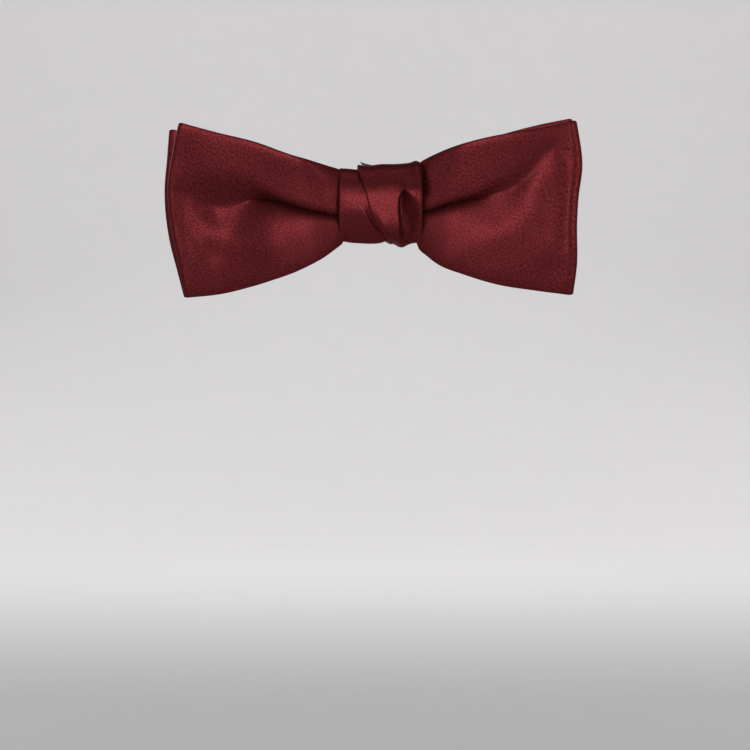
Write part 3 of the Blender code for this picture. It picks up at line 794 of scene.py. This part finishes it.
WAVE = 2 * math.pi / 20     # a wave texture of scale 1 repeats every this many units
TWILL = 0.28                # from one of the satin's slanting ribs to the next
LINING_SCALE = 300.0        # threads about 1 mm apart
TWIST_SCALE = 420.0         # turns of the thread's yarn about 0.75 mm apart


def satin_look(name, low, high):
    """Twilled satin: slanting ribs, a fine slanting grain and faint clouding.

    Roughness lies between low and high.
    """
    n = Nodes(name)
    place = n.add("TexCoord").outputs["UV"]
    slant = n.add("Mapping", {"Vector": place, "Rotation": (0, 0, math.radians(45))})
    ribs = n.add(
        "TexWave",
        {"Vector": slant.outputs["Vector"], "Scale": WAVE / (TWILL * MM), "Distortion": 0.8},
        wave_type="BANDS", bands_direction="X",
    )
    drawn = n.add(
        "Mapping",
        {"Vector": place, "Scale": (1500.0, 2900.0, 1.0), "Rotation": (0, 0, math.radians(35))},
    )
    threads = n.add(
        "TexNoise",
        {"Vector": drawn.outputs["Vector"], "Scale": 1.0, "Detail": 3.0, "Roughness": 0.7},
    )
    streaks = n.add("MapRange", {"Value": threads.outputs["Fac"], "From Min": 0.35, "From Max": 0.65})
    weave = n.add(
        "Mix", {0: 0.60, 2: ribs.outputs["Fac"], 3: streaks.outputs["Result"]}, data_type="FLOAT"
    )
    colour = n.add("ValToRGB", {"Fac": weave.outputs[0]})
    ramp = colour.color_ramp.elements
    ramp[0].position, ramp[1].position = 0.12, 0.88
    ramp[0].color = (0.040, 0.0052, 0.0062, 1.0)
    ramp[1].color = (0.190, 0.0262, 0.0300, 1.0)
    cloud = n.add("TexNoise", {"Vector": place, "Scale": 90.0, "Detail": 3.0})
    rough = n.add("MapRange", {"Value": cloud.outputs["Fac"], "To Min": low, "To Max": high})
    bump = n.add("Bump", {"Height": weave.outputs[0], "Strength": 0.35, "Distance": 0.00003})
    n.set(Base_Color=colour.outputs["Color"], Roughness=rough.outputs["Result"], Metallic=0.68,
          Specular_IOR_Level=0.10, Specular_Tint=(0.40, 0.10, 0.12, 1.0),
          Sheen_Weight=0.05, Sheen_Roughness=0.30,
          Sheen_Tint=(0.75, 0.45, 0.52, 1.0), Normal=bump.outputs["Normal"])
    return n.look


def lining_look():
    """A plain woven interlining in undyed cream."""
    n = Nodes("woven_interlining")
    place = n.add("TexCoord").outputs["UV"]
    warp = n.add("TexWave", {"Vector": place, "Scale": LINING_SCALE}, bands_direction="X")
    weft = n.add("TexWave", {"Vector": place, "Scale": LINING_SCALE}, bands_direction="Y")
    weave = n.add("Math", {0: warp.outputs["Fac"], 1: weft.outputs["Fac"]}, operation="MULTIPLY")
    colour = n.add("ValToRGB", {"Fac": weave.outputs[0]})
    colour.color_ramp.elements[0].color = (0.62, 0.59, 0.52, 1.0)
    colour.color_ramp.elements[1].color = (0.80, 0.77, 0.70, 1.0)
    bump = n.add("Bump", {"Height": weave.outputs[0], "Strength": 0.5, "Distance": 0.00006})
    n.set(Base_Color=colour.outputs["Color"], Roughness=0.9, Normal=bump.outputs["Normal"])
    return n.look


def thread_look():
    """Twisted thread in the satin's colour."""
    n = Nodes("burgundy_thread_twist")
    place = n.add("TexCoord").outputs["Object"]
    twist = n.add(
        "TexWave", {"Vector": place, "Scale": TWIST_SCALE, "Distortion": 1.0},
        bands_direction="DIAGONAL",
    )
    colour = n.add("ValToRGB", {"Fac": twist.outputs["Fac"]})
    colour.color_ramp.elements[0].color = (0.055, 0.006, 0.008, 1.0)
    colour.color_ramp.elements[1].color = (0.170, 0.022, 0.026, 1.0)
    bump = n.add("Bump", {"Height": twist.outputs["Fac"], "Strength": 0.6, "Distance": 0.00005})
    n.set(Base_Color=colour.outputs["Color"], Roughness=0.55, Normal=bump.outputs["Normal"])
    return n.look


def metal_look(name, dark, light, rough):
    """Plated or drawn steel: fine scratches, a little tarnish in patches."""
    n = Nodes(name)
    place = n.add("TexCoord").outputs["Object"]
    stretched = n.add("Mapping", {"Vector": place, "Scale": (900.0, 900.0, 7000.0)})
    scratch = n.add("TexNoise", {"Vector": stretched.outputs["Vector"], "Scale": 1.0, "Detail": 3.0})
    patch = n.add("TexNoise", {"Vector": place, "Scale": 120.0, "Detail": 2.0})
    colour = n.add("ValToRGB", {"Fac": patch.outputs["Fac"]})
    ramp = colour.color_ramp.elements
    ramp[0].position, ramp[1].position = 0.3, 0.7
    ramp[0].color = (*dark, 1.0)
    ramp[1].color = (*light, 1.0)
    mixed = n.add(
        "Math", {0: scratch.outputs["Fac"], 1: patch.outputs["Fac"]}, operation="MULTIPLY"
    )
    shine = n.add("MapRange", {"Value": mixed.outputs[0], "From Min": 0.1, "From Max": 0.45,
                               "To Min": rough - 0.03, "To Max": rough + 0.07})
    bump = n.add("Bump", {"Height": scratch.outputs["Fac"], "Strength": 0.08, "Distance": 0.00002})
    n.set(Base_Color=colour.outputs["Color"], Metallic=1.0, Roughness=shine.outputs["Result"],
          Normal=bump.outputs["Normal"])
    return n.look


def stage_look():
    """Pale paper with a faint fibre, which glows a little so that its shadows stay light."""
    n = Nodes("pale_studio_paper")
    place = n.add("TexCoord").outputs["Object"]
    fibre = n.add("TexNoise", {"Vector": place, "Scale": 60.0, "Detail": 4.0})
    colour = n.add("ValToRGB", {"Fac": fibre.outputs["Fac"]})
    colour.color_ramp.elements[0].color = (0.41, 0.402, 0.404, 1.0)
    colour.color_ramp.elements[1].color = (0.43, 0.422, 0.424, 1.0)
    n.set(Base_Color=colour.outputs["Color"], Roughness=0.85,
          Emission_Color=(1.0, 0.985, 0.99, 1.0), Emission_Strength=0.16)
    return n.look


# --- Studio ------------------------------------------------------------------------------


def add_camera():
    """A level camera in front of the bow and below it, so that the bow hangs high in the view."""
    data = bpy.data.cameras.new("camera")
    data.lens = 100.0
    data.sensor_width = 36.0
    data.clip_start = 0.01
    camera = bpy.data.objects.new("camera", data)
    camera.location = (-1.5 * MM, -565.0 * MM, -45.0 * MM)
    camera.rotation_euler = (math.radians(90.0), 0.0, 0.0)
    bpy.context.scene.collection.objects.link(camera)
    bpy.context.scene.camera = camera


def add_stage(look):
    """A pale floor that curves up all round, like a shallow bowl, well clear of the object."""
    floor, radius, rise, steps = -0.16, 1.3, 0.5, 96
    first_ring, wall_top = 0.3, 1.1
    profile = [(0.0, 0.0), (first_ring, 0.0), (radius - rise, 0.0)]
    profile += [
        (radius - rise + rise * math.sin(a), rise - rise * math.cos(a))
        for a in np.linspace(0.1, math.pi / 2, 12)
    ]
    profile.append((radius, wall_top))
    points = [(0.0, 0.0, floor)]
    for r, h in profile[1:]:
        points += [
            (r * math.cos(t), r * math.sin(t), floor + h)
            for t in np.linspace(0, 2 * math.pi, steps, endpoint=False)
        ]
    faces = [(0, 1 + i, 1 + (i + 1) % steps) for i in range(steps)]
    for k in range(len(profile) - 2):
        a, b = 1 + k * steps, 1 + (k + 1) * steps
        faces += [(a + i, b + i, b + (i + 1) % steps, a + (i + 1) % steps) for i in range(steps)]
    stage = add_object("studio_floor", np.array(points) / MM, faces, look=look)


BOW_MIDDLE = (0, 0, 0)
BACK_WALL = (0, 1.3, 0.15)
FRONT_WALL = (0, -1.3, 0.15)


def add_light(name, place, target, size, power, colour=(1.0, 1.0, 1.0)):
    """A round soft light that points at a target, with sizes in metres and power in watts."""
    data = bpy.data.lights.new(name, "AREA")
    data.shape = "DISK"
    data.size = size
    data.energy = power
    data.color = colour
    light = bpy.data.objects.new(name, data)
    light.location = place
    direction = np.array(target, float) - np.array(place, float)
    light.rotation_euler = Vector(direction).to_track_quat("-Z", "Y").to_euler()
    bpy.context.scene.collection.objects.link(light)


def add_lights():
    """A dim world, a key above the camera, and lights for the top, sides, walls and back."""
    world = bpy.data.worlds.new("studio")
    world.use_nodes = True
    background = world.node_tree.nodes["Background"]
    background.inputs["Color"].default_value = (0.95, 0.95, 1.0, 1.0)
    background.inputs["Strength"].default_value = 0.14
    bpy.context.scene.world = world
    bpy.context.scene.view_settings.view_transform = "Standard"
    warm = (1.0, 0.98, 0.96)
    add_light("key", (0.0, -1.05, 0.26), BOW_MIDDLE, size=0.36, power=3.5, colour=warm)
    add_light("top_light", (0.0, -0.15, 0.9), BOW_MIDDLE, size=0.5, power=0.6)
    add_light("left_side_light", (-0.85, -0.70, 0.12), BOW_MIDDLE, size=0.3, power=0.5)
    add_light("right_side_light", (0.85, -0.70, 0.12), BOW_MIDDLE, size=0.3, power=1.0)
    add_light("backdrop_light", (0.0, 0.45, 0.5), BACK_WALL, size=0.4, power=5.0)
    add_light("front_wall_light", (0.0, -0.45, 0.5), FRONT_WALL, size=0.4, power=2.4)
    add_light("left_back_light", (-0.55, 0.85, 0.35), BOW_MIDDLE, size=0.5, power=2.3)
    add_light("right_back_light", (0.55, 0.85, 0.35), BOW_MIDDLE, size=0.5, power=2.3)


# --- Build -------------------------------------------------------------------------------

add_camera()
SATIN_LOOK = satin_look("burgundy_satin_cloth", 0.40, 0.46)
TIGHT_SATIN_LOOK = satin_look("burgundy_satin_pulled_tight", 0.38, 0.44)
LINING_LOOK = lining_look()
THREAD_LOOK = thread_look()
NICKEL_LOOK = metal_look("nickel_plating", (0.49, 0.49, 0.49), (0.54, 0.535, 0.525), 0.19)
SPRING_LOOK = metal_look("drawn_spring_wire", (0.26, 0.26, 0.27), (0.40, 0.40, 0.41), 0.30)

pieces = []
for bow in (FRONT_BOW, BACK_BOW):
    pieces += make_bow(bow, SATIN_LOOK, LINING_LOOK)
pieces += make_knot(TIGHT_SATIN_LOOK, LINING_LOOK)
pieces.append(make_binding(THREAD_LOOK))
pieces.append(make_stitches(THREAD_LOOK))
for piece in pieces:
    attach(piece, "bow")

# The CAD nodes that no piece here stands for are the nickel-plated ones.
for part in frame["record"]["subparts"]:
    if part["material_slot"] == "nickel_plate":
        materials = frame["nodes"][part["node"]].data.materials
        materials.clear()
        materials.append(NICKEL_LOOK)

# Each clip's turn in degrees, and the middle of its hinge pin in millimetres.
make_spring("left", 134.5, (-14.196, 2.4, 2.853), SPRING_LOOK)
make_spring("right", 37.0, (13.806, 2.4, 2.407), SPRING_LOOK)

add_stage(stage_look())
add_lights()
